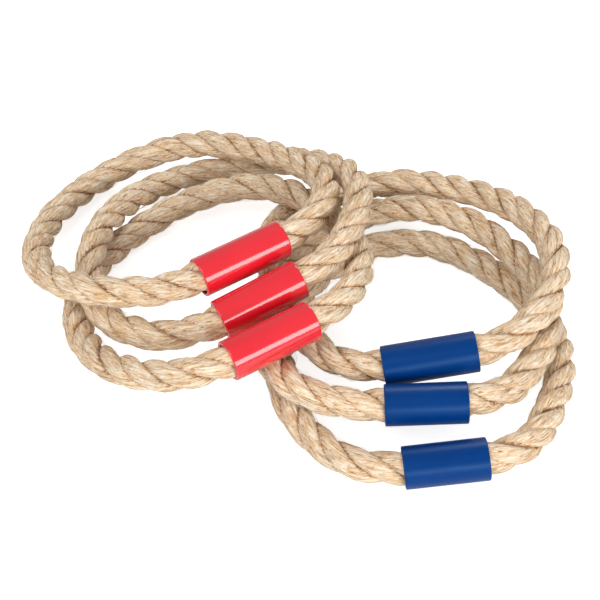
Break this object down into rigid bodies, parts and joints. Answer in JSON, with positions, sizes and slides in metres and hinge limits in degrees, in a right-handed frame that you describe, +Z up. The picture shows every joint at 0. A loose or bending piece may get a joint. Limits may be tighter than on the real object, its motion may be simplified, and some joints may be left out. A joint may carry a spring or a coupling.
{
  "type": "ring toss set",
  "caption": "Rope quoits for tossing at a peg, lying in a fanned pile: each a ring of laid rope whose ends meet in a short straight plastic sleeve, some blue and some red.",
  "frame": {"origin": "middle of the pile's footprint, on the surface that it lies on", "axes": "+Z up; +X along the pile's long side, from the red rings towards the blue ones; the sleeves are on the -Y side"},
  "size_m": [0.2651, 0.2174, 0.0547],
  "materials": {
    "rope": "natural laid rope, pale straw, slightly hairy",
    "red_sleeve": "bright red glossy plastic",
    "blue_sleeve": "deep royal blue plastic, satin to glossy",
    "glue": "milky hot-melt glue"
  },
  "bodies": {
    "blue_ring_1": {"blue_ring_1_rope": "rope", "blue_ring_1_sleeve": "blue_sleeve", "blue_ring_1_glue": "glue"},
    "blue_ring_2": {"blue_ring_2_rope": "rope", "blue_ring_2_sleeve": "blue_sleeve", "blue_ring_2_glue": "glue"},
    "blue_ring_3": {"blue_ring_3_rope": "rope", "blue_ring_3_sleeve": "blue_sleeve", "blue_ring_3_glue": "glue"},
    "red_ring_1": {"red_ring_1_rope": "rope", "red_ring_1_sleeve": "red_sleeve", "red_ring_1_glue": "glue"},
    "red_ring_2": {"red_ring_2_rope": "rope", "red_ring_2_sleeve": "red_sleeve", "red_ring_2_glue": "glue"},
    "red_ring_3": {"red_ring_3_rope": "rope", "red_ring_3_sleeve": "red_sleeve", "red_ring_3_glue": "glue"}
  },
  "joints": [
    {"name": "blue_ring_2_lift", "type": "slide", "parent": "blue_ring_1", "child": "blue_ring_2", "axis": [0, 0, 1], "range_m": [0, 0.07]},
    {"name": "blue_ring_3_lift", "type": "slide", "parent": "blue_ring_2", "child": "blue_ring_3", "axis": [0, 0, 1], "range_m": [0, 0.07]},
    {"name": "red_ring_1_lift", "type": "slide", "parent": "blue_ring_3", "child": "red_ring_1", "axis": [0, 0, 1], "range_m": [0, 0.07]},
    {"name": "red_ring_2_lift", "type": "slide", "parent": "red_ring_1", "child": "red_ring_2", "axis": [0, 0, 1], "range_m": [0, 0.07]},
    {"name": "red_ring_3_lift", "type": "slide", "parent": "red_ring_2", "child": "red_ring_3", "axis": [0, 0, 1], "range_m": [0, 0.07]}
  ]
}
